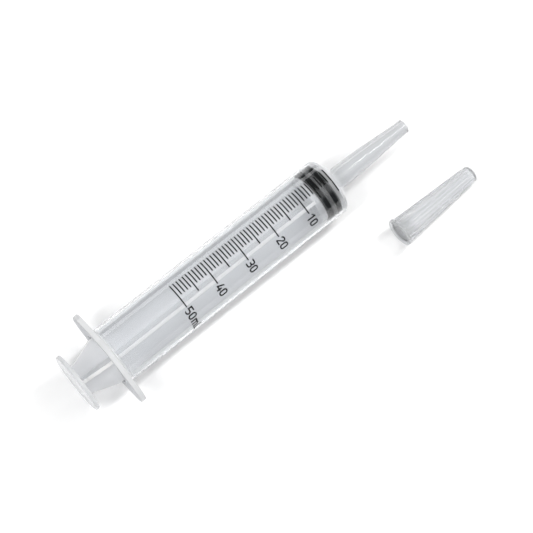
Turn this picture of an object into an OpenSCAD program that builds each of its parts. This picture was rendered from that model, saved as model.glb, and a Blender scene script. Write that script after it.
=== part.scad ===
// Catheter tip syringe, 50 mL: barrel with finger flange and long taper tip, printed scale,
// rubber stopper, cross-ribbed plunger rod and a tip cap lying beside it. Millimetres, degrees.
// X runs along the barrel towards the tip, Y along the finger flange, Z up.
// The origin is on the barrel axis in the front face of the finger flange.

/* [Barrel] */
// outside radius of the barrel
barrel_r = 14.45; // [13:0.05:16]
// wall of barrel and shoulder
barrel_wall = 1.1; // [0.8:0.05:1.4]
// finger flange face to start of the shoulder
barrel_len = 129.4; // [124:0.2:134]
// length of the cone between barrel and tip
shoulder_len = 5.0; // [4.2:0.2:6]
// rounding where barrel and shoulder meet
shoulder_round = 1.4; // [0.6:0.1:2]
// lead-in at the open end of the bore
bore_lead = 0.5; // [0.2:0.05:0.8]

/* [Finger flange] */
// tip of one wing to tip of the other
flange_span = 51.0; // [48:0.5:60]
// how far the middle of the flange stands out from the barrel
flange_lip = 0.55; // [0.4:0.05:3]
// radius of each wing end
flange_end_r = 7.8; // [6:0.2:10]
// thickness of the plate
flange_t = 2.7; // [2:0.1:3.5]

/* [Catheter tip] */
// shoulder to open end of the tip
tip_len = 42.2; // [40:0.2:43]
// outside radius where the tip leaves the shoulder
tip_root_r = 5.35; // [5.1:0.05:5.38]
// outside radius at the open end
tip_end_r = 3.5; // [3:0.05:3.6]
// rounding of the outer edge at the open end
tip_round = 0.7; // [0.3:0.1:0.9]
// wall of the tip at the shoulder
tip_wall = 1.0; // [0.8:0.05:1.2]
// radius of the outlet
outlet_r = 2.2; // [1.8:0.1:2.4]
// length of the straight part of the outlet
outlet_len = 4.0; // [3:0.5:6]

/* [Printed scale] */
// bore length of one millilitre
ml_pitch = 1.786; // [1.7:0.002:1.8]
// shoulder edge back to the zero line
zero_back = 1.0; // [0.8:0.1:2]
// width of a printed line
line_w = 0.6; // [0.3:0.05:0.8]
// height of the ink film
ink_t = 0.05; // [0.03:0.01:0.08]
// arc length of the one millilitre lines
line_short = 6.8; // [5:0.2:8]
// arc length of the five millilitre lines
line_mid = 10.2; // [8.5:0.2:11]
// arc length of the ten millilitre lines
line_long = 13.0; // [11.5:0.2:13.2]
// where the lines start, from the flange direction, halfway along the scale
scale_angle = 70.6; // [60:0.2:80]
// how far the print drifts round the barrel from the last line to zero
scale_drift = 5.2; // [0:0.2:6]
// height of the numerals
glyph_h = 4.5; // [4:0.1:5]
// width of a numeral
glyph_w = 2.75; // [2.5:0.05:2.8]
// centre to centre of two numerals
glyph_pitch = 3.15; // [3.1:0.05:3.3]
// stroke of numerals and letters
glyph_stroke = 0.7; // [0.5:0.02:0.8]
// end of a long line to the first numeral
glyph_gap = 0.7; // [0.5:0.05:1]
// height of the small letter
letter_h = 3.3; // [3:0.1:3.5]
// width of the small letter
letter_w = 3.9; // [3.6:0.05:4]
// width of the capital letter
capital_w = 2.3; // [2:0.05:2.6]
// gap on each side of the small letter
letter_gap = 0.75; // [0.6:0.05:0.9]

/* [Stopper] */
// zero line back to the front edge of the front ring, the plunger's place
stopper_back = 2.0; // [1.9:0.1:60]
// width of each sealing ring
ring_w = 2.7; // [2.4:0.1:3]
// centre to centre of the two rings
ring_pitch = 4.4; // [4.2:0.1:5]
// gap between ring and bore
ring_gap = 0.05; // [0.02:0.01:0.08]
// depth of the groove between the rings
groove_depth = 1.1; // [0.8:0.1:1.6]
// rubber behind the rear ring
lip_len = 0.3; // [0.2:0.05:1]
// how far the lip stands back from the bore
lip_back = 0.6; // [0.5:0.1:1]
// ring to foot of the front cone
cone_foot = 0.5; // [0.3:0.1:0.8]
// radius of the small end of the front cone
nose_r = 4.5; // [4:0.1:5]

/* [Plunger rod] */
// how far the thumb disc reaches past the middle of the flange
thumb_over = 0.07; // [0:0.01:1]
// thickness of the thumb disc
thumb_t = 2.1; // [1.8:0.1:2.6]
// rounding of its edges
thumb_round = 0.6; // [0.3:0.1:0.8]
// rear face of the thumb disc to rear face of the flange
thumb_gap = 17.8; // [16:0.1:110]
// gap between rib tip and bore
rib_gap = 1.05; // [0.6:0.05:1.8]
// rib tip to axis at the thumb disc
rib_foot_r = 8.2; // [7:0.1:10]
// straight piece of rib at the thumb disc
rib_foot_len = 2.4; // [1:0.1:4]
// length over which the ribs widen
rib_flare_len = 11.8; // [10:0.2:14]
// thickness of a rib
rib_t = 1.7; // [1.4:0.1:2.2]
// turn of the rod, first rib from the flange direction
rod_turn = 26; // [0:1:89]
// gap between the disc behind the stopper and the bore
front_disc_gap = 1.15; // [0.6:0.05:1.8]
// thickness of that disc
front_disc_t = 3.4; // [2:0.1:4]
// radius of the neck that the stopper grips
neck_r = 6.5; // [5.5:0.1:7]
// length of the neck
neck_len = 2.6; // [2:0.1:3]
// radius of the head inside the stopper
head_r = 8.5; // [8:0.1:9]
// length of the head
head_len = 4.8; // [4:0.1:5.2]
// gap between rod head and stopper, all round
head_gap = 0.05; // [0.03:0.01:0.08]

/* [Tip cap] */
// mouth to closed end
cap_len = 47.2; // [46:0.2:49]
// radius of the rim at the mouth
cap_rim_r = 7.27; // [7:0.05:7.6]
// thickness of the rim
cap_rim_t = 1.6; // [1.2:0.1:2]
// outside radius behind the rim
cap_root_r = 6.4; // [6.35:0.05:6.5]
// outside radius at the closed end
cap_end_r = 4.1; // [4.05:0.05:4.3]
// rounding of the closed end
cap_round = 1.2; // [0.8:0.1:1.6]
// radius of the mouth
cap_mouth_r = 5.75; // [5.65:0.05:5.9]
// radius of the seat that grips the tip
cap_seat_r = 5.4; // [5.4:0.02:5.46]
// mouth to start of the seat
cap_lead = 1.0; // [0.8:0.1:1.4]
// mouth to end of the seat
cap_seat_end = 9.0; // [8:0.2:9.4]
// radius of the hollow past the seat
cap_step_r = 5.17; // [5.15:0.01:5.2]
// mouth to that radius
cap_step_at = 15.0; // [14.6:0.1:15.2]
// radius of the hollow at its closed end
cap_inner_end_r = 3.45; // [3.4:0.05:3.5]
// thickness of the closed end
cap_floor_t = 1.3; // [1:0.1:1.6]
// number of short grip ribs
grip_count = 20; // [16:2:24]
// reach of a grip rib above the wall
grip_h = 0.35; // [0.2:0.05:0.5]
// width of a grip rib
grip_w = 0.7; // [0.5:0.05:0.9]
// length of the grip ribs past the rim
grip_len = 8.4; // [6:0.2:10]
// every how many grip ribs one runs on to the closed end
long_every = 2; // [2:1:4]
// reach of a long rib above the wall
long_h = 0.22; // [0.15:0.01:0.3]
// turn of the cap about its own axis
cap_turn = 2; // [0:1:35]
// place of the middle of the mouth along the barrel
cap_x = 141.7; // [130:0.1:160]
// place of the middle of the mouth across the barrel
cap_y = -37.4; // [-60:0.1:-24]
// turn of the cap as it lies
cap_yaw = 1.9; // [-10:0.1:10]

/* [Hidden] */
$fn = 96;
overrun = 0.6;
bore_r = barrel_r - barrel_wall;
flange_mid_r = barrel_r + flange_lip;
thumb_r = flange_mid_r + thumb_over;
rib_r = bore_r - rib_gap;
front_disc_r = bore_r - front_disc_gap;
tip_x = barrel_len + shoulder_len;
end_x = tip_x + tip_len;
zero_x = barrel_len - zero_back;
thumb_x = -flange_t - thumb_gap;
ring_front = zero_x - stopper_back;
ring_rear = ring_front - ring_w - ring_pitch;
stopper_x = ring_rear - lip_len;
cone_x = ring_front + cone_foot;
lip_r = bore_r - lip_back;
shoulder_slope = atan2(barrel_r - tip_root_r, shoulder_len);
nose_x = cone_x + (lip_r - nose_r) / tan(shoulder_slope);
inner_shift = barrel_wall * tan(shoulder_slope / 2);
shoulder_in_x = barrel_len - inner_shift;
tip_bore_r = tip_root_r - tip_wall;
tip_in_x = shoulder_in_x + (bore_r - tip_bore_r) / tan(shoulder_slope);
rib_start = thumb_x + thumb_t;
front_disc_x = stopper_x - head_gap - front_disc_t;
neck_x = front_disc_x + front_disc_t;
head_x = neck_x + head_gap + neck_len;
cap_wall_end_x = cap_len - cap_round;
cap_end_share = 1 - cap_round / cap_len;
cap_contact_r = cap_root_r + (cap_end_r - cap_root_r) * cap_end_share;
cap_tilt = atan2(cap_rim_r - cap_contact_r, cap_wall_end_x - cap_rim_t);
cap_z = cap_rim_r * cos(cap_tilt) + cap_rim_t * sin(cap_tilt) - thumb_r;
lines_per_ten = 10;
last_line = 50;
round_steps = 6;

// shares of the tip length and of the way from root to end radius
tip_length_shares = [0.13, 0.37, 0.6, 0.82];
tip_taper_shares = [0.02, 0.16, 0.5, 0.84];
// shares of the angle of a rounded edge
round_shares = [for (i = [0 : round_steps]) i / round_steps];

module along() {
    rotate([90, 0, 90]) children();
}

module turned(points) {
    along() rotate_extrude() polygon(points);
}

// points of a rounded edge: centre radius and place, size, start and end angle
function rounded(cr, cx, r, a0, a1) =
    [for (k = round_shares) [cr + r * cos(a0 + (a1 - a0) * k), cx + r * sin(a0 + (a1 - a0) * k)]];

function tip_r(k) = tip_root_r + (tip_end_r - tip_root_r) * k;

// barrel
shoulder_turn = shoulder_slope;
edge_back = shoulder_round * tan(shoulder_turn / 2);

module barrel_shell() {
    outer = concat(
        [[barrel_r, -flange_t]],
        rounded(barrel_r - shoulder_round, barrel_len - edge_back, shoulder_round, 0, shoulder_turn),
        [[tip_root_r, tip_x]],
        [for (i = [0 : len(tip_length_shares) - 1])
            [tip_r(tip_taper_shares[i]), tip_x + tip_len * tip_length_shares[i]]],
        rounded(tip_end_r - tip_round, end_x - tip_round, tip_round, 0, 90)
    );
    inner = [
        [outlet_r, end_x],
        [outlet_r, end_x - outlet_len],
        [tip_bore_r, tip_in_x],
        [bore_r, shoulder_in_x],
        [bore_r, bore_lead - flange_t],
        [bore_r + bore_lead, -flange_t]
    ];
    turned(concat(outer, inner));
}

module flange_plate() {
    wing_y = flange_span / 2 - flange_end_r;
    lean = asin((flange_mid_r - flange_end_r) / wing_y);
    mid = [flange_mid_r * sin(lean), flange_mid_r * cos(lean)];
    wing = [wing_y + flange_end_r * sin(lean), flange_end_r * cos(lean)];
    translate([-flange_t, 0, 0]) difference() {
        along() union() {
            cylinder(r = flange_mid_r, h = flange_t);
            for (s = [-1, 1]) translate([s * wing_y, 0, 0]) cylinder(r = flange_end_r, h = flange_t);
            linear_extrude(flange_t) polygon([
                wing, mid, [-mid[0], mid[1]], [-wing[0], wing[1]],
                [-wing[0], -wing[1]], [-mid[0], -mid[1]], [mid[0], -mid[1]], [wing[0], -wing[1]]
            ]);
        }
        translate([-overrun, 0, 0]) along() cylinder(r = barrel_r - barrel_wall / 2, h = flange_t + 2 * overrun);
    }
}

module barrel() {
    color([0.88, 0.9, 0.92, 0.4]) union() {
        barrel_shell();
        flange_plate();
    }
}

// printed scale
function arc_angle(length) = length / barrel_r * 180 / PI;
function line_x(v) = zero_x - v * ml_pitch;
function line_angle(v) = scale_angle + scale_drift * (0.5 - v / last_line);

module ink_line(v, length) {
    translate([line_x(v) - line_w / 2, 0, 0]) along() rotate([0, 0, line_angle(v)])
        rotate_extrude(angle = arc_angle(length)) translate([barrel_r, 0]) square([ink_t, line_w]);
}

module one_ml_lines() {
    color([0.04, 0.04, 0.05]) for (v = [1 : last_line])
        if (v % (lines_per_ten / 2) != 0) ink_line(v, line_short);
}

module five_ml_lines() {
    color([0.04, 0.04, 0.05]) for (v = [lines_per_ten / 2 : lines_per_ten : last_line]) ink_line(v, line_mid);
}

module ten_ml_lines() {
    color([0.04, 0.04, 0.05]) for (v = [0 : lines_per_ten : last_line]) ink_line(v, line_long);
}

// a glyph lies at its line, its middle a stated arc length past the start of the lines
module on_barrel(v, arc) {
    intersection() {
        translate([line_x(v), 0, 0]) rotate([line_angle(v) + arc_angle(arc) - 90, 0, 0])
            translate([0, 0, barrel_r - overrun]) rotate([0, 0, -90]) linear_extrude(2 * overrun) children();
        translate([line_x(v) - glyph_h, 0, 0]) along() difference() {
            cylinder(r = barrel_r + ink_t, h = 2 * glyph_h);
            translate([0, 0, -overrun]) cylinder(r = barrel_r, h = 2 * (glyph_h + overrun));
        }
    }
}

module bar(x0, y0, x1, y1) {
    translate([x0, y0]) square([x1 - x0, y1 - y0]);
}

module ring_2d(r, w) {
    difference() {
        circle(r = r);
        circle(r = r - w);
    }
}

module zero_glyph() {
    r = glyph_w / 2;
    c = glyph_h / 2 - r;
    w = glyph_stroke;
    for (s = [-1, 1]) translate([0, s * c]) intersection() {
        ring_2d(r, w);
        translate([-r, s < 0 ? -r : 0]) square([2 * r, r]);
    }
    for (s = [-1, 1]) translate([s * (r - w / 2) - w / 2, -c]) square([w, 2 * c]);
}

module one_glyph() {
    w = glyph_stroke;
    top = glyph_h / 2;
    x = glyph_w / 8;
    bar(x - w / 2, -top, x + w / 2, top);
    polygon([[x, top], [x - glyph_w / 2, top - glyph_h / 5], [x - glyph_w / 2, top - glyph_h / 5 - w], [x, top - w]]);
}

module two_glyph() {
    w = glyph_stroke;
    r = glyph_w / 2;
    top = glyph_h / 2;
    intersection() {
        translate([0, top - r]) ring_2d(r, w);
        translate([-r, top - r]) square([2 * r, r]);
    }
    polygon([[r, top - r], [r - w, top - r], [-r, w - top], [w - r, w - top], [r, top - r - w / 4]]);
    bar(-r, -top, r, w - top);
}

module three_glyph() {
    w = glyph_stroke;
    top = glyph_h / 2;
    r = (top + w / 2) / 2;
    c = top - r;
    x = glyph_w / 2 - r;
    for (s = [-1, 1]) intersection() {
        translate([x, s * c]) ring_2d(r, w);
        translate([x, s * c - r]) square([r, 2 * r]);
    }
    for (s = [-1, 1]) {
        translate([-glyph_w / 2, s * (top - w / 2) - w / 2]) square([x + glyph_w / 2, w]);
    }
    bar(-glyph_w / 4, -w / 2, x, w / 2);
}

module four_glyph() {
    w = glyph_stroke;
    top = glyph_h / 2;
    r = glyph_w / 2;
    x = r - glyph_w / 4;
    y = -glyph_h / 5;
    bar(x - w / 2, -top, x + w / 2, glyph_h / 12);
    bar(-r, y - w / 2, r, y + w / 2);
    polygon([[-r, y], [w - r, y], [glyph_w / 12 + w / 2, top], [glyph_w / 12 - w / 2, top]]);
}

module five_glyph() {
    w = glyph_stroke;
    top = glyph_h / 2;
    r = glyph_w / 2;
    c = r - top;
    intersection() {
        translate([0, c]) ring_2d(r, w);
        union() {
            bar(0, -top, r, c + r);
            bar(-r, -top, r, c - r / 2);
        }
    }
    bar(-r, c + r - w, 0, c + r);
    bar(-r, c + r - w, w - r, top);
    bar(-r, top - w, r - w / 2, top);
}

module small_m_glyph() {
    w = glyph_stroke;
    low = -glyph_h / 2;
    step = (letter_w - w) / 2;
    r = (step + w) / 2;
    for (i = [-1, 0, 1]) bar(i * step - w / 2, low, i * step + w / 2, low + letter_h - r);
    bar(-letter_w / 2, low + letter_h - r, w - letter_w / 2, low + letter_h);
    for (s = [-1, 1]) intersection() {
        translate([s * step / 2, low + letter_h - r]) ring_2d(r, w);
        translate([s * step / 2 - r, low + letter_h - r]) square([2 * r, r]);
    }
}

module capital_l_glyph() {
    w = glyph_stroke;
    top = glyph_h / 2;
    bar(-capital_w / 2, -top, w - capital_w / 2, top);
    bar(-capital_w / 2, -top, capital_w / 2, w - top);
}

first_arc = line_long + glyph_gap + glyph_w / 2;
second_arc = first_arc + glyph_pitch;
small_m_arc = second_arc + glyph_w / 2 + letter_gap + letter_w / 2;
capital_l_arc = small_m_arc + letter_w / 2 + letter_gap + capital_w / 2;

module scale_numerals() {
    color([0.04, 0.04, 0.05]) {
        for (v = [lines_per_ten : lines_per_ten : last_line]) on_barrel(v, second_arc) zero_glyph();
        on_barrel(lines_per_ten, first_arc) one_glyph();
        on_barrel(2 * lines_per_ten, first_arc) two_glyph();
        on_barrel(3 * lines_per_ten, first_arc) three_glyph();
        on_barrel(4 * lines_per_ten, first_arc) four_glyph();
        on_barrel(last_line, first_arc) five_glyph();
    }
}

module unit_letters() {
    color([0.04, 0.04, 0.05]) {
        on_barrel(last_line, small_m_arc) small_m_glyph();
        on_barrel(last_line, capital_l_arc) capital_l_glyph();
    }
}

// stopper
module stopper() {
    ring_r = bore_r - ring_gap;
    groove_r = ring_r - groove_depth;
    edge = groove_depth / 4;
    profile = [
        [0, nose_x],
        [nose_r, nose_x],
        [lip_r, cone_x],
        [lip_r, ring_front],
        [ring_r - edge, ring_front],
        [ring_r, ring_front - edge],
        [ring_r, ring_front - ring_w + edge],
        [ring_r - edge, ring_front - ring_w],
        [groove_r, ring_front - ring_w],
        [groove_r, ring_rear + ring_w],
        [ring_r - edge, ring_rear + ring_w],
        [ring_r, ring_rear + ring_w - edge],
        [ring_r, ring_rear + edge],
        [ring_r - edge, ring_rear],
        [lip_r, ring_rear],
        [lip_r - edge, stopper_x],
        [neck_r + head_gap, stopper_x],
        [neck_r + head_gap, head_x - head_gap],
        [head_r + head_gap, head_x - head_gap],
        [head_r + head_gap, head_x + head_len + head_gap],
        [0, head_x + head_len + head_gap]
    ];
    color([0.05, 0.05, 0.055]) turned(profile);
}

// plunger rod
module rib_plate() {
    foot_x = rib_start + rib_foot_len;
    flare_x = foot_x + rib_flare_len;
    stop_x = front_disc_x + front_disc_t / 2;
    rotate([90, 0, 0]) translate([0, 0, -rib_t / 2]) linear_extrude(rib_t) polygon([
        [rib_start - thumb_t / 2, rib_foot_r],
        [foot_x, rib_foot_r],
        [flare_x, rib_r],
        [stop_x, rib_r],
        [stop_x, -rib_r],
        [flare_x, -rib_r],
        [foot_x, -rib_foot_r],
        [rib_start - thumb_t / 2, -rib_foot_r]
    ]);
}

module plunger_rod() {
    color([0.86, 0.88, 0.9, 0.6]) union() {
        turned(concat(
            [[0, thumb_x]],
            rounded(thumb_r - thumb_round, thumb_x + thumb_round, thumb_round, -90, 0),
            rounded(thumb_r - thumb_round, rib_start - thumb_round, thumb_round, 0, 90),
            [[0, rib_start]]
        ));
        rotate([rod_turn, 0, 0]) union() {
            rotate([90, 0, 0]) rib_plate();
            rib_plate();
        }
        turned([
            [0, front_disc_x],
            [front_disc_r, front_disc_x],
            [front_disc_r, neck_x],
            [neck_r, neck_x],
            [neck_r, head_x],
            [head_r, head_x],
            [head_r, head_x + head_len],
            [0, head_x + head_len]
        ]);
    }
}

// tip cap, drawn with its mouth at the origin and its axis along X
function cap_r(k) = cap_root_r + (cap_end_r - cap_root_r) * k;

module cap_rib(long) {
    sink = (cap_root_r - cap_seat_r) / 4;
    foot_x = cap_rim_t / 2;
    grip_x = cap_rim_t + grip_len;
    last_x = cap_wall_end_x - cap_round;
    ridge = long ? [
        [grip_x + grip_w, cap_r((grip_x + grip_w) / cap_len) + long_h],
        [last_x - grip_w, cap_r((last_x - grip_w) / cap_len) + long_h],
        [last_x, cap_r(last_x / cap_len) - sink]
    ] : [[grip_x + grip_w, cap_r((grip_x + grip_w) / cap_len) - sink]];
    rotate([90, 0, 0]) translate([0, 0, -grip_w / 2]) linear_extrude(grip_w) polygon(concat(
        [
            [foot_x, cap_r(foot_x / cap_len) - sink],
            [foot_x, cap_r(foot_x / cap_len) + grip_h],
            [grip_x, cap_r(grip_x / cap_len) + grip_h]
        ],
        ridge
    ));
}

module tip_cap_upright() {
    turned(concat(
        [
            [cap_mouth_r, 0],
            [cap_rim_r, 0],
            [cap_rim_r, cap_rim_t],
            [cap_r(cap_rim_t / cap_len), cap_rim_t]
        ],
        rounded(cap_contact_r - cap_round, cap_wall_end_x, cap_round, 0, 90),
        [
            [0, cap_len],
            [0, cap_len - cap_floor_t],
            [cap_inner_end_r, cap_len - cap_floor_t],
            [cap_step_r, cap_step_at],
            [cap_seat_r, cap_seat_end],
            [cap_seat_r, cap_lead]
        ]
    ));
    for (i = [0 : grip_count - 1]) rotate([360 * i / grip_count, 0, 0]) cap_rib(i % long_every == 0);
}

module tip_cap() {
    color([0.88, 0.9, 0.92, 0.5]) translate([cap_x, cap_y, cap_z]) rotate([0, cap_tilt, cap_yaw])
        rotate([cap_turn, 0, 0]) tip_cap_upright();
}

barrel();
one_ml_lines();
five_ml_lines();
ten_ml_lines();
scale_numerals();
unit_letters();
stopper();
plunger_rod();
tip_cap();
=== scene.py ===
"""Catheter tip syringe, 50 mL, with its tip cap beside it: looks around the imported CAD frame.

X runs along the barrel towards the tip, Y along the finger flange, Z up. The scene is in metres.
The origin is on the barrel axis in the front face of the finger flange.
"""

from math import acos, asin, atan2, cos, hypot, pi, radians, sin, tan

import bmesh
import bpy
from mathutils import Euler, Matrix, Vector


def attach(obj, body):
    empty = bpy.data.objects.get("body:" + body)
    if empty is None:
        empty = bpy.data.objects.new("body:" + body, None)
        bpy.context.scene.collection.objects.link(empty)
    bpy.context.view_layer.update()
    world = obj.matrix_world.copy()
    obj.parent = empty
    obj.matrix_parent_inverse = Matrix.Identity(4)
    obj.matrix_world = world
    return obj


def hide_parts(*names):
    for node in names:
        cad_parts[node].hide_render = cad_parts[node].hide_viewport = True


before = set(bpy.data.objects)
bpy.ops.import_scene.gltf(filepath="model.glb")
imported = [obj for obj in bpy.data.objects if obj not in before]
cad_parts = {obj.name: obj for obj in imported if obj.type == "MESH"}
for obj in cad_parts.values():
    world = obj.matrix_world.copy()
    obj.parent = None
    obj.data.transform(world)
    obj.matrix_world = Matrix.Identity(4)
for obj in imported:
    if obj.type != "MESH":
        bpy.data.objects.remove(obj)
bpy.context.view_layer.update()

MM = 0.001

# Sizes, in millimetres and degrees
BARREL_R, WALL, BARREL_LEN, SHOULDER_LEN, SHOULDER_ROUND = 14.45, 1.1, 129.4, 5.0, 2.24
BORE_R = BARREL_R - WALL
BARREL_FOOT, BARREL_FOOT_ROUND = 0.28, 0.22
BORE_EDGE, BORE_EDGE_ROUND, BORE_END_ROUND = 0.5, 0.4, 0.45
TIP_X = BARREL_LEN + SHOULDER_LEN
TIP_LEN, TIP_ROOT_R, TIP_END_R, TIP_WALL = 42.2, 5.35, 3.5, 1.0
TIP_FOOT_LEN, TIP_FOOT_DROP, TIP_FOOT_ROUND, TIP_END_ROUND, TIP_BORE_ROUND = 3.0, 0.01, 0.8, 0.7, 1.2
OUTLET_R, OUTLET_LEN, OUTLET_EDGE, OUTLET_ROUND = 2.2, 4.0, 0.25, 2.0
END_X = TIP_X + TIP_LEN
# the taper of the tip: share of its length, share of the way from root to end radius
TIP_SHARES = ((0.13, 0.02), (0.37, 0.16), (0.6, 0.5), (0.82, 0.84), (1, 1))

FLANGE_T, FLANGE_SPAN, FLANGE_MID_R, FLANGE_END_R = 2.7, 51.0, 15.0, 7.8
# the front edge is small, because the flange stands out so little over the barrel's top
FLANGE_REAR_EDGE, FLANGE_FRONT_EDGE = 0.5, 0.24
FLANGE_REAR_HOLD, FLANGE_FRONT_HOLD = 0.1, 0.01

INK_T, INK_SINK, INK_CUT, INK_MERGE = 0.05, 0.02, 0.45, 0.0001

RING_W, RING_PITCH, RING_FRONT, RING_CROWN, RING_FOOT = 2.7, 4.4, 126.4, 0.22, 0.2
RING_GAP, GROOVE_R = 0.01, 12.2
RING_R = BORE_R - RING_GAP
LIP_R, LIP_LEN, LIP_BEVEL, LIP_ROUND, LIP_EDGE, SOCKET_EDGE = 12.75, 0.3, 0.3, 0.15, 0.1, 0.2
NOSE_X, NOSE_R, NOSE_ROUND = 131.4, 4.5, 0.8
CONE_STEP, CONE_DROP, CONE_ROUND, CONE_UNDERCUT = 0.5, 0.15, 0.4, 0.1

THUMB_R, THUMB_X, THUMB_T, THUMB_EDGE = 15.07, -20.5, 2.1, 0.6
DISH_DEPTH, DISH_INSET, DISH_ROUND, DISH_RIM_W, DISH_RIM_ROUND = 0.25, 2.2, 1.5, 1.5, 0.8
RIB_R, RIB_T, RIB_FOOT_R, RIB_FOOT_LEN, RIB_FLARE_LEN, ROD_TURN = 12.3, 1.7, 8.2, 2.4, 11.8, 26.0
RIB_EDGE, RIB_FILLET, RIB_BEND, RIB_SINK = 0.35, 0.5, 0.6, 1.0
# how far from a rounding its flat gets one more point, which keeps the flat's shading even
RIB_EDGE_HOLD, RIB_FILLET_HOLD = 0.2, 0.3
DISC_R, DISC_X, DISC_FRONT, DISC_EDGE = 12.2, 115.55, 118.95, 0.4
NECK_R, NECK_ROUND = 6.5, 0.3
HEAD_R, HEAD_X, HEAD_LEN, HEAD_ROUND, HEAD_GAP = 8.5, 121.6, 4.8, 0.5, 0.05

CAP_LEN, CAP_RIM_R, CAP_RIM_T, CAP_ROOT_R, CAP_END_R, CAP_ROUND = 47.2, 7.27, 1.6, 6.4, 4.1, 1.2
CAP_RIM_EDGE, CAP_RIM_FOOT, CAP_MARGIN, CAP_MOUTH_EDGE = 0.35, 0.12, 1.2, 0.15
CAP_MOUTH_R, CAP_SEAT_R, CAP_LEAD, CAP_LEAD_ROUND, CAP_SEAT_END = 5.75, 5.4, 1.0, 0.5, 9.0
CAP_STEP_R, CAP_STEP_AT, CAP_STEP_ROUND = 5.17, 15.0, 1.5
CAP_INNER_END_R, CAP_FLOOR, CAP_FLOOR_ROUND = 3.45, 1.3, 0.8
# the ribs of the cap: high in the grip, low from there to the end
GRIP_COUNT, GRIP_H, GRIP_W, GRIP_LEN, GRIP_FADE_IN, GRIP_FADE_OUT = 20, 0.35, 0.7, 8.4, 0.4, 0.5
LOW_RIB_H, LOW_RIB_FADE = 0.22, 2.5
# a rib's foot is wider than GRIP_W by the spread, and the fullness makes its crown flat
GRIP_SPREAD, GRIP_FULLNESS = 1.6, 1.5
# painted shade on the cap: darker from just inside the mouth to this depth, and in the grooves between the
# ribs
MOUTH_PAINTED_SHADE_FROM, MOUTH_PAINTED_SHADE_TO, MOUTH_PAINTED_SHADE_FADE, GROOVE_PAINTED_SHADE = 0.8, 4.5, 3.0, 0.3
CAP_AT, CAP_TURN, CAP_YAW, CAP_TILT = (141.7, -37.4, -7.706), 2.0, 1.9, 4.009

FLOOR_Z, FLOOR_R = -THUMB_R, 3000.0

# the camera of the photograph: high up, a little behind the thumb disc and to its side
CAMERA_AT, CAMERA_TO, CAMERA_LENS = (-90.13, -218.77, 837.77), (81.709, -12.162, 0.0), 128.62


# Outlines
HOLD_SHARE = 0.3


def clamp(value):
    return max(0.0, min(1.0, value))


def rounded(corners, steps=5):
    """Points along a line of corners (x, r, radius), each corner turned on its radius.

    On each side of an arc stands one more point, so that smooth shading stays off the flat parts."""
    out = []
    for i, (x, r, radius) in enumerate(corners):
        p = Vector((x, r))
        if radius <= 0 or i in (0, len(corners) - 1):
            out.append((x, r))
            continue
        a = (Vector(corners[i - 1][:2]) - p).normalized()
        b = (Vector(corners[i + 1][:2]) - p).normalized()
        half = acos(max(-1, min(1, a.dot(b)))) / 2
        back = radius / tan(half)
        centre = p + (a + b).normalized() * (radius / sin(half))
        start, end = p + a * back, p + b * back
        u, v = start - centre, end - centre
        angle = u.angle_signed(v)
        out.append(tuple(start + a * radius * HOLD_SHARE))
        for k in range(steps + 1):
            q = -angle * k / steps
            out.append(tuple(centre + Vector((u.x * cos(q) - u.y * sin(q), u.x * sin(q) + u.y * cos(q)))))
        out.append(tuple(end + b * radius * HOLD_SHARE))
    return out


def smooth_run(points, steps):
    """A smooth line through the points (Catmull-Rom), with that many steps between two."""
    out = []
    for i in range(len(points) - 1):
        p0, p1 = Vector(points[max(i - 1, 0)]), Vector(points[i])
        p2, p3 = Vector(points[i + 1]), Vector(points[min(i + 2, len(points) - 1)])
        slope, curve = p2 - p0, 2 * p0 - 5 * p1 + 4 * p2 - p3
        twist = 3 * p1 - p0 - 3 * p2 + p3
        for k in range(steps):
            t = k / steps
            out.append(tuple(0.5 * (2 * p1 + slope * t + curve * t * t + twist * t ** 3)))
    return out + [tuple(points[-1])]


# Meshes
TINY_EDGE, ON_AXIS = 1e-7, 1e-6


def smooth_but_edges(bm, sharp):
    """Smooth faces, with the edges sharper than that angle left sharp."""
    for f in bm.faces:
        f.smooth = True
    for e in bm.edges:
        e.smooth = not (len(e.link_faces) == 2 and e.calc_face_angle(0) > radians(sharp))


def linked(name, data):
    """A new object in the scene with that mesh, lamp or camera."""
    o = bpy.data.objects.new(name, data)
    bpy.context.scene.collection.objects.link(o)
    return o


def mesh_object(name, vertices, faces, sharp=40, slots=None):
    """A mesh from points in millimetres, smooth except at edges sharper than that angle."""
    mesh = bpy.data.meshes.new(name)
    mesh.from_pydata([Vector(v) * MM for v in vertices], [], faces)
    if slots:
        mesh.polygons.foreach_set("material_index", slots)
    bm = bmesh.new()
    bm.from_mesh(mesh)
    bmesh.ops.dissolve_degenerate(bm, dist=TINY_EDGE, edges=bm.edges)
    bmesh.ops.recalc_face_normals(bm, faces=bm.faces)
    smooth_but_edges(bm, sharp)
    bm.to_mesh(mesh)
    bm.free()
    return linked(name, mesh)


def even_normals(o):
    """Shades flat faces flat right up to their rounded edges."""
    m = o.modifiers.new("normals", "WEIGHTED_NORMAL")
    m.keep_sharp = True
    m.weight = 80
    return o


def turned(name, profile, count=160, radius=None, closed=True, sharp=40):
    """A solid of revolution about X from profile points (x, r).

    radius(x, r, angle) may change r round the axis. A point on the axis becomes one vertex."""
    vertices, rows = [], []
    for x, r in profile:
        if r < ON_AXIS:
            rows.append([len(vertices)])
            vertices.append((x, 0, 0))
            continue
        rows.append(list(range(len(vertices), len(vertices) + count)))
        for i in range(count):
            a = 2 * pi * i / count
            q = radius(x, r, a) if radius else r
            vertices.append((x, q * cos(a), q * sin(a)))
    faces = []
    pairs = list(zip(rows, rows[1:])) + ([(rows[-1], rows[0])] if closed else [])
    for a, b in pairs:
        if len(a) == 1 and len(b) == 1:
            continue
        for i in range(count):
            j = (i + 1) % count
            if len(a) == 1:
                faces.append((a[0], b[i], b[j]))
            elif len(b) == 1:
                faces.append((a[i], a[j], b[0]))
            else:
                faces.append((a[i], a[j], b[j], b[i]))
    return mesh_object(name, vertices, faces, sharp)


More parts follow.
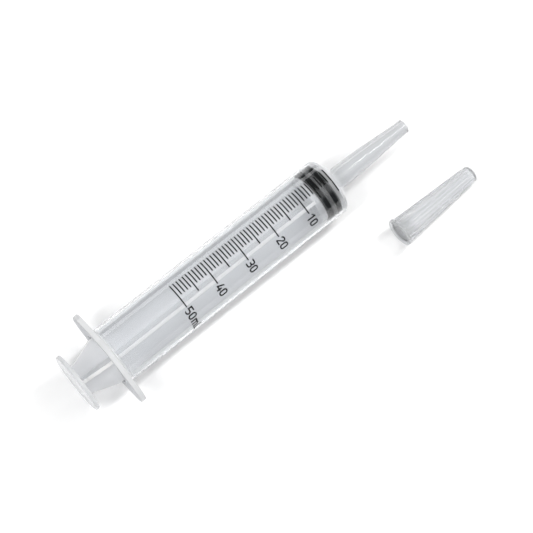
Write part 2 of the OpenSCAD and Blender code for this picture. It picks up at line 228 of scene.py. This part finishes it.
def lofted(name, loops, closed=False, sharp=40, slot_of=None):
    """A skin through loops of points that all have the same count, with flat ends unless closed.

    slot_of(loop, point) gives the material slot of the face between that loop and the next."""
    count = len(loops[0])
    vertices = [p for loop in loops for p in loop]
    faces = []
    total = len(loops)
    for k in range(total if closed else total - 1):
        a, b = k * count, ((k + 1) % total) * count
        for i in range(count):
            j = (i + 1) % count
            faces.append((a + i, a + j, b + j, b + i))
    if not closed:
        faces.append(tuple(range(count)))
        faces.append(tuple(range((total - 1) * count, total * count)))
    slots = [slot_of(min(k // count, total - 1), k % count) for k in range(len(faces))] if slot_of else None
    return mesh_object(name, vertices, faces, sharp, slots=slots)


def joined(name, *parts):
    """One closed skin round several closed solids."""
    body = parts[0]
    for p in parts[1:]:
        m = body.modifiers.new("join", "BOOLEAN")
        m.operation = "UNION"
        m.solver = "EXACT"
        m.object = p
    bpy.context.view_layer.update()
    evaluated = body.evaluated_get(bpy.context.evaluated_depsgraph_get())
    mesh = bpy.data.meshes.new_from_object(evaluated)
    mesh.name = name
    for p in parts:
        bpy.data.objects.remove(p)
    bm = bmesh.new()
    bm.from_mesh(mesh)
    smooth_but_edges(bm, 30)
    bm.to_mesh(mesh)
    bm.free()
    return linked(name, mesh)


# Barrel with its flange and tip
def flange_outline(x, inset, angles):
    """The outline of the flange, drawn in by inset. Each point is where the outline faces that angle."""
    wing_y = FLANGE_SPAN / 2 - FLANGE_END_R
    lean = asin((FLANGE_MID_R - FLANGE_END_R) / wing_y)
    loop = []
    for a in angles:
        from_z = asin(min(1, abs(cos(a))))
        middle = from_z < lean
        centre, r = (0, FLANGE_MID_R) if middle else ((wing_y if cos(a) > 0 else -wing_y), FLANGE_END_R)
        loop.append((x, centre + (r - inset) * cos(a), (r - inset) * sin(a)))
    return loop


def edge_round(size):
    """A quarter round from a face to the outline: how far it stands in from each."""
    turns = [radians(90) * k / 5 for k in range(6)]
    return [(size * (1 - cos(q)), size * (1 - sin(q))) for q in turns]


def make_barrel():
    count = 192
    angles = [2 * pi * i / count for i in range(count)]
    taper = smooth_run(
        [(TIP_X + TIP_LEN * s, TIP_ROOT_R + (TIP_END_R - TIP_ROOT_R) * k) for s, k in TIP_SHARES], 5
    )
    outer = rounded([
        (0.0, BARREL_R + BARREL_FOOT, 0), (BARREL_FOOT, BARREL_R, BARREL_FOOT_ROUND),
        (BARREL_LEN, BARREL_R, SHOULDER_ROUND), (TIP_X, TIP_ROOT_R, TIP_FOOT_ROUND),
        (TIP_X + TIP_FOOT_LEN, TIP_ROOT_R - TIP_FOOT_DROP, 0),
    ])
    outer += taper[1:-1]
    outer += rounded([(*taper[-2], 0), (END_X, TIP_END_R, TIP_END_ROUND), (END_X, OUTLET_R, 0)], 6)[1:-1]
    # the wall is even, so the bore turns a little behind the outside at the shoulder
    slope = atan2(BARREL_R - TIP_ROOT_R, SHOULDER_LEN)
    inner_x = BARREL_LEN - WALL * tan(slope / 2)
    tip_bore = TIP_ROOT_R - TIP_WALL
    tip_in_x = inner_x + (BORE_R - tip_bore) / tan(slope)
    inner = rounded([
        (END_X, TIP_END_R, 0), (END_X, OUTLET_R, OUTLET_EDGE), (END_X - OUTLET_LEN, OUTLET_R, OUTLET_ROUND),
        (tip_in_x, tip_bore, TIP_BORE_ROUND), (inner_x, BORE_R, BORE_END_ROUND),
        (-FLANGE_T + BORE_EDGE, BORE_R, BORE_EDGE_ROUND), (-FLANGE_T, BORE_R + BORE_EDGE, 0),
    ])[1:]
    loops = [[(x, r * cos(a), r * sin(a)) for a in angles] for x, r in outer + inner]
    rim = [(-FLANGE_T, FLANGE_REAR_EDGE + FLANGE_REAR_HOLD)]
    rim += [(x - FLANGE_T, inset) for x, inset in edge_round(FLANGE_REAR_EDGE)]
    rim += [(-x, inset) for x, inset in reversed(edge_round(FLANGE_FRONT_EDGE))]
    rim += [(0.0, FLANGE_FRONT_EDGE + FLANGE_FRONT_HOLD)]
    loops += [flange_outline(x, inset, angles) for x, inset in rim]
    first, last = len(outer), len(outer) + len(inner)
    # slot 1 is the rear face of the flange, which gets a grey tint of painted shade
    o = lofted(
        "barrel_body", loops, closed=True, sharp=50, slot_of=lambda loop, point: int(last - 1 <= loop <= last)
    )
    # the material tells the bore, which is a little hazy, from the polished outside
    inside = [float(first < v // count < last - 2) for v in range(len(o.data.vertices))]
    o.data.attributes.new("bore", "FLOAT", "POINT").data.foreach_set("value", inside)
    return o


barrel = even_normals(make_barrel())
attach(barrel, "barrel")
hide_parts("barrel")


# Printed scale
def ink_from(node):
    """The CAD node's print as a film that follows the barrel closely, sunk a little into its skin."""
    bm = bmesh.new()
    bm.from_mesh(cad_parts[node].data)
    bmesh.ops.remove_doubles(bm, verts=bm.verts, dist=INK_MERGE * MM)
    for _ in range(4):
        long_edges = [e for e in bm.edges if e.calc_length() > INK_CUT * MM]
        if not long_edges:
            break
        bmesh.ops.subdivide_edges(bm, edges=long_edges, cuts=1)
        bmesh.ops.triangulate(bm, faces=bm.faces)
    middle = (BARREL_R + INK_T / 2) * MM
    for v in bm.verts:
        r = hypot(v.co.y, v.co.z)
        want = (BARREL_R + INK_T if r > middle else BARREL_R - INK_SINK) * MM
        v.co.y *= want / r
        v.co.z *= want / r
    for f in bm.faces:
        f.smooth = False
    mesh = bpy.data.meshes.new("print_" + node)
    bm.to_mesh(mesh)
    bm.free()
    mesh.validate()
    o = linked("print_" + node, mesh)
    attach(o, "barrel")
    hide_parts(node)
    return o


PRINTED = ("one_ml_lines", "five_ml_lines", "ten_ml_lines", "scale_numerals", "unit_letters")
prints = [ink_from(node) for node in PRINTED]


# Stopper
def make_stopper():
    rear_ring = RING_FRONT - RING_W - RING_PITCH
    rear_x = rear_ring - LIP_LEN
    socket_r, socket_x = HEAD_R + HEAD_GAP, HEAD_X - HEAD_GAP
    socket_end = HEAD_X + HEAD_LEN + HEAD_GAP
    corners = [
        (NOSE_X, 0, 0), (NOSE_X, NOSE_R, NOSE_ROUND),
        (RING_FRONT + CONE_STEP, LIP_R - CONE_DROP, CONE_ROUND),
        (RING_FRONT - CONE_UNDERCUT, GROOVE_R, RING_FOOT),
        (RING_FRONT, RING_R, RING_CROWN), (RING_FRONT - RING_W, RING_R, RING_CROWN),
        (RING_FRONT - RING_W, GROOVE_R, RING_FOOT), (rear_ring + RING_W, GROOVE_R, RING_FOOT),
        (rear_ring + RING_W, RING_R, RING_CROWN), (rear_ring, RING_R, RING_CROWN),
        (rear_ring, LIP_R, LIP_ROUND), (rear_x, LIP_R - LIP_BEVEL, LIP_EDGE),
        (rear_x, NECK_R + HEAD_GAP, SOCKET_EDGE), (socket_x, NECK_R + HEAD_GAP, 0),
        (socket_x, socket_r, 0), (socket_end, socket_r, 0), (socket_end, 0, 0),
    ]
    return turned("stopper_rubber", rounded(corners), count=160, closed=False)


stopper = even_normals(make_stopper())
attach(stopper, "stopper")
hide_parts("stopper")


# Plunger rod
ARC_STEPS = 5
ARM_POINTS = 3 * ARC_STEPS + 8


def cross_loop(x, reach):
    """Section of the cross of ribs at x: four arms with rounded tips and filleted corners."""
    h, tip, fillet = RIB_T / 2, RIB_EDGE, RIB_FILLET
    turns = [radians(90) * k / ARC_STEPS for k in range(ARC_STEPS + 1)]
    flat_out, flat_in = reach - tip - RIB_EDGE_HOLD, h + fillet + RIB_FILLET_HOLD
    # one arm, from the middle of its tip round to the tip of the next arm
    arm = [(reach, 0)]
    arm += [(reach - tip + tip * cos(q), h - tip + tip * sin(q)) for q in turns]
    arm += [(flat_out, h), (flat_in, h)]
    arm += [(h + fillet - fillet * sin(q), h + fillet - fillet * cos(q)) for q in turns]
    arm += [(h, flat_in), (h, flat_out)]
    arm += [(h - tip + tip * cos(q), reach - tip + tip * sin(q)) for q in turns]
    loop = []
    for turn in range(4):
        a = radians(ROD_TURN + 90 * turn)
        loop += [(x, u * cos(a) - v * sin(a), u * sin(a) + v * cos(a)) for u, v in arm]
    return loop


def on_rib_edge(loop, point):
    """Slot 1 for the faces at the tips of the arms, which carry a painted highlight, slot 0 for the rest of
    the cross.
    """
    place = point % ARM_POINTS
    return int(place <= ARC_STEPS or place >= ARM_POINTS - ARC_STEPS - 1)


def make_rod():
    front = THUMB_X + THUMB_T
    foot, flare = front + RIB_FOOT_LEN, front + RIB_FOOT_LEN + RIB_FLARE_LEN
    reach = rounded([
        (front - RIB_SINK, RIB_FOOT_R, 0), (foot, RIB_FOOT_R, RIB_BEND), (flare, RIB_R, RIB_BEND),
        (DISC_X + RIB_SINK, RIB_R, 0),
    ], 4)
    ribs = lofted("ribs", [cross_loop(x, r) for x, r in reach], sharp=50, slot_of=on_rib_edge)
    dish_x, head_end = THUMB_X + DISH_DEPTH, HEAD_X + HEAD_LEN
    thumb = rounded([
        (dish_x, 0, 0), (dish_x, THUMB_R - DISH_INSET, DISH_ROUND),
        (THUMB_X, THUMB_R - DISH_RIM_W, DISH_RIM_ROUND),
        (THUMB_X, THUMB_R, THUMB_EDGE), (front, THUMB_R, THUMB_EDGE), (front, 0, 0),
    ])
    head = rounded([
        (DISC_X, 0, 0), (DISC_X, DISC_R, DISC_EDGE), (DISC_FRONT, DISC_R, DISC_EDGE),
        (DISC_FRONT, NECK_R, NECK_ROUND), (HEAD_X, NECK_R, NECK_ROUND),
        (HEAD_X, HEAD_R, HEAD_ROUND), (head_end, HEAD_R, HEAD_ROUND), (head_end, 0, 0),
    ])
    return joined(
        "plunger_rod_body", ribs, turned("thumb", thumb, count=160, closed=False),
        turned("head", head, count=128, closed=False),
    )


rod = even_normals(make_rod())
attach(rod, "plunger_rod")
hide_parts("plunger_rod")


# Tip cap
# how far in from the outer wall the ribs stop, and the painted shade of the mouth starts
CAP_RIB_SLACK, CAP_PAINTED_SHADE_SLACK = 0.05, 0.3


def cap_wall(x):
    """Outer radius of the cap between its ribs."""
    return CAP_ROOT_R + (CAP_END_R - CAP_ROOT_R) * x / CAP_LEN


def cap_ribbed(x, r, a):
    """The radius with the ribs on it at that place and angle."""
    if r < cap_wall(x) - CAP_RIB_SLACK or x < CAP_RIM_T or x > CAP_LEN - CAP_ROUND:
        return r
    pitch = 2 * pi / GRIP_COUNT
    off = abs(a - round(a / pitch) * pitch) * r / (GRIP_W / 2)
    if off >= GRIP_SPREAD:
        return r
    shape = min(1.0, GRIP_FULLNESS * (0.5 + 0.5 * cos(pi * off / GRIP_SPREAD)))
    grip = clamp((CAP_RIM_T + GRIP_LEN + GRIP_FADE_OUT - x) / (GRIP_FADE_IN + GRIP_FADE_OUT))
    low = clamp((CAP_LEN - 2 * CAP_ROUND - x) / LOW_RIB_FADE)
    return r + shape * max(GRIP_H * grip, LOW_RIB_H * low)


def cap_painted_shade(x, r, a):
    """How much painted shade the cap has there, from 0 to 1: inside the mouth and in the grooves between the
    ribs.
    """
    if r < cap_wall(x) - CAP_PAINTED_SHADE_SLACK:
        return clamp(min((MOUTH_PAINTED_SHADE_TO - x) / MOUTH_PAINTED_SHADE_FADE, x / MOUTH_PAINTED_SHADE_FROM))
    if not CAP_RIM_T < x < CAP_LEN - CAP_ROUND:
        return 0.0
    turn = a * GRIP_COUNT / (2 * pi)
    return GROOVE_PAINTED_SHADE * 2 * abs(turn - round(turn))


def make_cap():
    start, stop, grip_end = CAP_RIM_T + CAP_MARGIN, CAP_LEN - CAP_ROUND - CAP_MARGIN, CAP_RIM_T + GRIP_LEN
    outer = rounded([
        (0.0, CAP_MOUTH_R + CAP_MOUTH_EDGE, 0), (0.0, CAP_RIM_R, CAP_RIM_EDGE),
        (CAP_RIM_T, CAP_RIM_R, CAP_RIM_EDGE),
        (CAP_RIM_T, cap_wall(CAP_RIM_T), CAP_RIM_FOOT), (start, cap_wall(start), 0),
    ])
    runs = 26
    places = [start + (stop - start) * k / runs for k in range(1, runs)]
    places += [grip_end - GRIP_FADE_IN, grip_end, grip_end + GRIP_FADE_OUT]
    outer += [(x, cap_wall(x)) for x in places]
    rim = [p for p in outer if p[0] <= CAP_RIM_T]
    outer = rim + sorted(p for p in outer if p[0] > CAP_RIM_T)
    outer += rounded([outer[-1] + (0,), (CAP_LEN, CAP_END_R, CAP_ROUND), (CAP_LEN, 0, 0)], 7)[1:]
    floor_x = CAP_LEN - CAP_FLOOR
    inner = rounded([
        (floor_x, 0, 0), (floor_x, CAP_INNER_END_R, CAP_FLOOR_ROUND),
        (CAP_STEP_AT, CAP_STEP_R, CAP_STEP_ROUND), (CAP_SEAT_END, CAP_SEAT_R, CAP_STEP_ROUND),
        (CAP_LEAD, CAP_SEAT_R, CAP_LEAD_ROUND), (0.0, CAP_MOUTH_R, 0),
    ])
    o = turned("tip_cap_body", outer + inner, count=360, radius=cap_ribbed, sharp=50)
    # painted shade, carried at the points: dark inside the mouth and in the grooves between the ribs
    painted_shade = []
    for x, y, z in (v.co / MM for v in o.data.vertices):
        painted_shade.append(cap_painted_shade(x, hypot(y, z), atan2(z, y)))
    o.data.attributes.new("painted_shade", "FLOAT", "POINT").data.foreach_set("value", painted_shade)
    o.data.transform(
        Matrix.Translation(Vector(CAP_AT) * MM)
        @ Euler((0, radians(CAP_TILT), radians(CAP_YAW))).to_matrix().to_4x4()
        @ Matrix.Rotation(radians(CAP_TURN), 4, "X")
    )
    return o


cap = even_normals(make_cap())
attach(cap, "tip_cap")
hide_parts("tip_cap")


# Materials
class Nodes:
    """Short ways to add nodes to a tree. A value may be a number, a colour or another node's output."""

    def __init__(self, tree):
        self.nodes, self.links = tree.nodes, tree.links

    def put(self, value, socket):
        if hasattr(value, "is_linked"):
            self.links.new(value, socket)
        else:
            socket.default_value = value

    def math(self, kind, a, b):
        m = self.nodes.new("ShaderNodeMath")
        m.operation = kind
        self.put(a, m.inputs[0])
        self.put(b, m.inputs[1])
        return m.outputs["Value"]

    def vector_math(self, kind, *vectors):
        """A number from one or two vectors."""
        m = self.nodes.new("ShaderNodeVectorMath")
        m.operation = kind
        for value, socket in zip(vectors, m.inputs):
            self.put(value, socket)
        return m.outputs["Value"]

    def part(self, vector, axis):
        s = self.nodes.new("ShaderNodeSeparateXYZ")
        self.put(vector, s.inputs["Vector"])
        return s.outputs[axis]

    def step(self, source, start, end, low=0.0, high=1.0, kind="LINEAR"):
        """low up to start, high from end, and what lies between them there."""
        m = self.nodes.new("ShaderNodeMapRange")
        m.interpolation_type = kind
        for key, value in (("From Min", start), ("From Max", end), ("To Min", low), ("To Max", high)):
            m.inputs[key].default_value = value
        self.put(source, m.inputs["Value"])
        return m.outputs["Result"]

    def mix(self, share, a, b):
        m = self.nodes.new("ShaderNodeMix")
        for value, key in ((share, "Factor"), (a, "A"), (b, "B")):
            self.put(value, m.inputs[key])
        return m.outputs["Result"]


class Shader(Nodes):
    """A Principled material, fed from object coordinates."""

    def __init__(self, name):
        self.material = bpy.data.materials.new(name)
        self.material.use_nodes = True
        super().__init__(self.material.node_tree)
        self.bsdf = self.nodes["Principled BSDF"]
        self.out = self.nodes["Material Output"]
        self.place = self.nodes.new("ShaderNodeTexCoord").outputs["Object"]

    def set(self, **values):
        for key, value in values.items():
            self.bsdf.inputs[key.replace("_", " ")].default_value = value

    def feed(self, name, source):
        self.links.new(source, self.bsdf.inputs[name])

    def noise(self, scale, detail=3.0, stretch=(1, 1, 1)):
        m = self.nodes.new("ShaderNodeMapping")
        m.inputs["Scale"].default_value = stretch
        self.links.new(self.place, m.inputs["Vector"])
        n = self.nodes.new("ShaderNodeTexNoise")
        n.inputs["Scale"].default_value = scale
        n.inputs["Detail"].default_value = detail
        self.links.new(m.outputs["Vector"], n.inputs["Vector"])
        return n.outputs["Fac"]

    def ramp(self, source, stops):
        """The value or colour of the stops (place from 0 to 1, value) at the source."""
        r = self.nodes.new("ShaderNodeValToRGB")
        e = r.color_ramp.elements
        while len(e) < len(stops):
            e.new(0.5)
        for item, (at, value) in zip(e, stops):
            item.position = at
            item.color = (*(value if hasattr(value, "__len__") else (value,) * 3), 1)
        self.links.new(source, r.inputs["Fac"])
        return r.outputs["Color"]

    def uneven(self, source, low, high, middle=0.5, spread=0.2):
        """From low to high, as the noise in source rises through its middle."""
        return self.ramp(source, [(middle - spread, low), (middle + spread, high)])

    def along(self, stops):
        """A value that runs through stops (x in millimetres, value)."""
        start, end = stops[0][0], stops[-1][0]
        place = self.step(self.part(self.place, "X"), start * MM, end * MM)
        return self.ramp(place, [((x - start) / (end - start), value) for x, value in stops])

    def mark(self, name):
        """A value that the mesh carries at its points."""
        m = self.nodes.new("ShaderNodeAttribute")
        m.attribute_name = name
        return m.outputs["Fac"]

    def darker(self, colour, by, share=1.0):
        """The colour times by, where share is 1, and as it was where share is 0."""
        m = self.nodes.new("ShaderNodeMix")
        m.data_type, m.blend_type = "RGBA", "MULTIPLY"
        # sockets 6 and 7 and output 2 are the ones for colours
        for value, socket in ((share, m.inputs["Factor"]), (colour, m.inputs[6]), (by, m.inputs[7])):
            self.put(value, socket)
        return m.outputs[2]

    def bump(self, height, strength, distance):
        b = self.nodes.new("ShaderNodeBump")
        b.inputs["Strength"].default_value = strength
        b.inputs["Distance"].default_value = distance * MM
        self.links.new(height, b.inputs["Height"])
        self.links.new(b.outputs["Normal"], self.bsdf.inputs["Normal"])

    def let_lamps_through(self, share, edges_too):
        """The share of the lamps' light that passes, less towards the outline unless edges_too."""
        rays = self.nodes.new("ShaderNodeLightPath").outputs["Is Shadow Ray"]
        if not edges_too:
            slant = self.nodes.new("ShaderNodeLayerWeight").outputs["Facing"]
            square = self.math("MULTIPLY", self.math("SUBTRACT", 1.0, slant), EDGE_PASS)
            share = self.math("MINIMUM", square, share)
        clear = self.nodes.new("ShaderNodeBsdfTransparent")
        mix = self.nodes.new("ShaderNodeMixShader")
        self.links.new(self.math("MULTIPLY", rays, share), mix.inputs["Fac"])
        self.links.new(self.bsdf.outputs["BSDF"], mix.inputs[1])
        self.links.new(clear.outputs["BSDF"], mix.inputs[2])
        self.links.new(mix.outputs["Shader"], self.out.inputs["Surface"])

    def absorb(self, density):
        """What the plastic takes from the light per metre of its depth."""
        depth = self.nodes.new("ShaderNodeVolumeAbsorption")
        depth.inputs["Color"].default_value = DEPTH_COLOUR
        depth.inputs["Density"].default_value = density
        self.links.new(depth.outputs["Volume"], self.out.inputs["Volume"])


def plastic(name, tint, clear, rough, lamps, haze=0.04, gloss=0.5, edges_too=False):
    """Milky moulded plastic, part glass and part white, slightly uneven along its flow.

    clear is the share that is glass. lamps is the share that lamps shine through, or stops of it along X.
    Returns the shader and its colour, which may still be made darker before it is fed."""
    s = Shader(name)
    s.set(IOR=PLASTIC_IOR, Specular_IOR_Level=gloss, Transmission_Weight=clear)
    colour = s.uneven(s.noise(90, 2, (0.4, 1, 1)), *tint)
    s.feed("Base Color", colour)
    flow = s.noise(220, 2, (0.12, 1, 1))
    s.feed("Roughness", s.uneven(flow, rough, rough + haze))
    s.bump(flow, 0.006, 0.05)
    s.let_lamps_through(lamps if isinstance(lamps, float) else s.along(lamps), edges_too)
    return s, colour


PLASTIC_IOR, EDGE_PASS = 1.46, 1.2
# tints, from the low to the high end of their unevenness
CLEAR = ((0.955, 0.965, 0.98), (0.975, 0.985, 0.995))
ROD_MILK = ((0.90, 0.91, 0.93), (0.93, 0.94, 0.955))
# the rib edges are a lighter copy of the rod's plastic: a painted highlight
EDGE_HIGHLIGHT_MILK = ((0.93, 0.93, 0.93), (0.95, 0.95, 0.95))
# the rear face of the flange is tinted grey: painted shade
FLANGE_REAR_SHADE_TINT = ((0.5, 0.51, 0.53), (0.54, 0.55, 0.57))
# the last is the colour of the painted shade in the cap's mouth and grooves
DEPTH_COLOUR, WALL_DEPTH, CAP_DEPTH, CAP_PAINTED_SHADE_COLOUR = (0.58, 0.6, 0.62, 1), 50.0, 95.0, (0.45, 0.45, 0.45, 1)
# the share that lamps shine through. The thumb disc has the least, so that it casts a shadow.
BARREL_LAMPS, FLANGE_LAMPS, CAP_LAMPS = 0.965, 0.93, 0.75
ROD_LAMPS = ((-21.0, 0.6), (-18.0, 0.6), (-17.0, 0.7), (-1.0, 0.8), (1.0, 0.91), (140.0, 0.91))
# stops along X, in millimetres: the flange is milky, the tube clear and the tip a little milky
BARREL_CLEAR = ((-3.0, 0.15), (-0.2, 0.15), (1.5, 1.0), (126.2, 1.0), (130.0, 0.9), (178.0, 0.8))
# the tube's colour along X: the flange and the tip greyer, and painted shade on the rounding beside the
# flange's rear face
BARREL_TONE_AND_REAR_SHADE = (
    (-3.0, 0.5), (-2.6, 0.5), (-2.4, 0.76), (-0.2, 0.76),
    (1.5, 1.0), (126.2, 1.0), (130.0, 0.93), (178.0, 0.84),
)
# the bore is hazy, but for where the two rings wet it, and more so in the shoulder
BORE_CLEAR = (
    (-3.0, 0.88), (119.2, 0.88), (119.4, 1.0), (121.9, 1.0), (122.1, 0.88), (123.6, 0.88), (123.8, 1.0),
    (126.3, 1.0), (126.6, 0.7), (128.6, 0.6), (130.0, 0.35), (136.0, 0.5), (178.0, 0.6),
)
# painted light along X: the rod and its rib edges are painted lighter inside the barrel, to make up for the
# light its walls take, and darker outside it, the rod darkest at the thumb disc
ROD_PAINTED_LIGHT = ((-19.0, 0.82), (-18.0, 0.85), (-1.0, 0.85), (1.0, 0.885), (140.0, 0.885))
EDGE_PAINTED_LIGHT = ((-19.0, 0.85), (-3.0, 0.85), (-1.0, 1.0), (140.0, 1.0))

tube, tint = plastic("barrel_plastic", CLEAR, 1.0, 0.02, BARREL_LAMPS, haze=0.02)
tube.feed("Base Color", tube.darker(tint, tube.along(BARREL_TONE_AND_REAR_SHADE)))
glassy = tube.mix(tube.mark("bore"), tube.along(BARREL_CLEAR), tube.along(BORE_CLEAR))
tube.feed("Transmission Weight", glassy)
tube.absorb(WALL_DEPTH)
barrel.data.materials.append(tube.material)
# painted shade: the rear face of the flange gets its own grey, nearly opaque plastic
flange_rear_shade, _ = plastic("flange_rear_painted_shade", FLANGE_REAR_SHADE_TINT, 0.1, 0.35, FLANGE_LAMPS, gloss=0.1)
barrel.data.materials.append(flange_rear_shade.material)

# each of the rod's two plastics gets its painted light along X
for name, milk_and_highlight, clear, painted_light in (
    ("rod_plastic", ROD_MILK, 0.25, ROD_PAINTED_LIGHT),
    # the rib edges: a lighter, less clear copy, a painted highlight
    ("rod_edge_painted_highlight", EDGE_HIGHLIGHT_MILK, 0.05, EDGE_PAINTED_LIGHT),
):
    milky, tint = plastic(name, milk_and_highlight, clear, 0.15, ROD_LAMPS, edges_too=True)
    milky.feed("Base Color", milky.darker(tint, milky.along(painted_light)))
    rod.data.materials.append(milky.material)

shell, tint = plastic("cap_plastic", CLEAR, 0.75, 0.04, CAP_LAMPS)
# painted shade: the cap's colour is made darker inside the mouth and in the grooves
shell.feed("Base Color", shell.darker(tint, CAP_PAINTED_SHADE_COLOUR, shell.mark("painted_shade")))
shell.absorb(CAP_DEPTH)
cap.data.materials.append(shell.material)

rubber = Shader("black_rubber")
rubber.set(Roughness=0.5, IOR=1.5, Specular_IOR_Level=0.12)
rubber.feed("Base Color", rubber.uneven(rubber.noise(700), (0.003, 0.004, 0.005), (0.007, 0.009, 0.011)))
rubber.bump(rubber.noise(900, 2), 0.2, 0.03)
stopper.data.materials.append(rubber.material)

ink = Shader("black_ink")
ink.set(Roughness=0.45, Specular_IOR_Level=0.1)
ink.feed("Base Color", ink.ramp(ink.noise(1500, 2), [(0.35, 0.004), (0.7, 0.012)]))
for o in prints:
    o.data.materials.append(ink.material)
    o.visible_shadow = False


# Floor, light and camera. Distances in this part are in metres, apart from those named above.
FLOOR_GLOW, FAR_GLOW, FAR_FROM, FAR_TO = 0.055, 0.6, 0.5, 1.0


def make_floor():
    steps = 64
    turns = [2 * pi * i / steps for i in range(steps)]
    mesh = bpy.data.meshes.new("floor")
    outline = [Vector((FLOOR_R * cos(a), FLOOR_R * sin(a), FLOOR_Z)) * MM for a in turns]
    mesh.from_pydata(outline, [], [tuple(range(steps))])
    o = linked("floor", mesh)
    s = Shader("floor")
    s.set(Roughness=0.9, Specular_IOR_Level=0.0, Emission_Color=(1, 1, 1, 1))
    s.feed("Base Color", s.uneven(s.noise(12, 2), 0.96, 0.97))
    # what is seen of it, straight or by way of the plastic, is a little brighter than its light
    rays = s.nodes.new("ShaderNodeLightPath").outputs
    seen = s.math("MAXIMUM", rays["Is Camera Ray"], rays["Is Transmission Ray"])
    seen = s.math("MAXIMUM", seen, rays["Is Glossy Ray"])
    # far off, where the lamps do not reach, the camera sees it white up to the horizon
    far = s.ramp(s.vector_math("LENGTH", s.place), [(FAR_FROM, 0.0), (FAR_TO, FAR_GLOW)])
    far = s.math("MULTIPLY", rays["Is Camera Ray"], far)
    s.feed("Emission Strength", s.math("ADD", s.math("MULTIPLY", seen, FLOOR_GLOW), far))
    mesh.materials.append(s.material)


make_floor()


def area_light(name, at, to, size, power, mirrored, lights):
    """A soft lamp. Pieces show its mirror image if mirrored, and are lit by it if lights."""
    data = bpy.data.lights.new(name, "AREA")
    data.shape = "RECTANGLE"
    data.size, data.size_y = size
    data.energy = power
    o = linked(name, data)
    o.visible_transmission = False
    o.visible_glossy = mirrored
    o.visible_diffuse = lights
    o.location = at
    o.rotation_mode = "QUATERNION"
    o.rotation_quaternion = (Vector(to) - Vector(at)).to_track_quat("-Z", "Y")
    return o


area_light("front_lamp", (1.05, -0.03, 1.0), (0.08, 0.0, 0.0), (0.15, 0.7), 8.9, mirrored=False, lights=True)
area_light("rear_lamp", (-0.85, -0.03, 1.0), (0.08, 0.0, 0.0), (0.15, 0.7), 7.1, mirrored=False, lights=True)
area_light("lamp", (0.68, -0.3, 1.15), (0.16, 0.0, 0.0), (0.07, 0.4), 1.0, mirrored=True, lights=True)
area_light("strip", (0.3, 1.0, 0.43), (0.06, 0.0, 0.0), (1.4, 0.3), 3.6, mirrored=True, lights=False)

# two wide soft boxes stand beyond the tip and behind the thumb disc. The barrel mirrors the dimmer
# gap between them, with a soft patch overhead. The fill comes from the near side.
GAP_X, GAP_HALF, BOX_FROM, GAP_LEVEL, BOX_LEVEL = 0.195, 0.15, 0.35, 0.12, 0.5
PATCH_TOWARD, PATCH_FROM, PATCH_FULL, PATCH_LEVEL = (0.2, -0.3, 0.93), 0.86, 0.995, 0.8
FILL_TOWARD, FILL_FROM, FILL_FULL, FILL_LEVEL = (0.1, -0.75, 0.6), 0.75, 0.98, 0.65
FILL_GAP_FROM, FILL_GAP_FULL = 0.12, 0.3


def light_world():
    world = bpy.data.worlds.new("studio")
    bpy.context.scene.world = world
    world.use_nodes = True
    w = Nodes(world.node_tree)
    direction = w.nodes.new("ShaderNodeTexCoord").outputs["Generated"]

    def glow(toward, start, full, level):
        """A soft round light in that direction."""
        near = w.vector_math("DOT_PRODUCT", direction, Vector(toward).normalized())
        return w.step(near, start, full, 0.0, level, "SMOOTHSTEP")

    aside = w.math("ABSOLUTE", w.math("SUBTRACT", w.part(direction, "X"), GAP_X), 0.0)
    boxes = w.step(aside, GAP_HALF, BOX_FROM, GAP_LEVEL, BOX_LEVEL, "SMOOTHSTEP")
    patch = glow(PATCH_TOWARD, PATCH_FROM, PATCH_FULL, PATCH_LEVEL)
    # the fill leaves out the gap, so that the barrel does not mirror it
    fill = glow(FILL_TOWARD, FILL_FROM, FILL_FULL, FILL_LEVEL)
    fill = w.math("MULTIPLY", fill, w.step(aside, FILL_GAP_FROM, FILL_GAP_FULL, 0.0, 1.0, "SMOOTHSTEP"))
    sky = w.math("ADD", w.math("ADD", boxes, patch), fill)
    seen = w.nodes.new("ShaderNodeLightPath").outputs["Is Camera Ray"]
    background = w.nodes["Background"]
    background.inputs["Color"].default_value = (1, 1, 1, 1)
    w.links.new(w.mix(seen, sky, 1.0), background.inputs["Strength"])


light_world()

camera = linked("camera", bpy.data.cameras.new("camera"))
camera.location = Vector(CAMERA_AT) * MM
camera.rotation_mode = "QUATERNION"
camera.rotation_quaternion = (Vector(CAMERA_TO) - Vector(CAMERA_AT)).to_track_quat("-Z", "Y")
camera.data.lens = CAMERA_LENS
camera.data.sensor_width = 36
camera.data.clip_start, camera.data.clip_end = 0.01, 50
bpy.context.scene.camera = camera
bpy.context.scene.view_settings.view_transform = "Standard"
# light has to cross many thin milky walls
bpy.context.scene.cycles.max_bounces = 24
bpy.context.scene.cycles.diffuse_bounces = 10
bpy.context.scene.cycles.transmission_bounces = 24
bpy.context.scene.cycles.transparent_max_bounces = 32
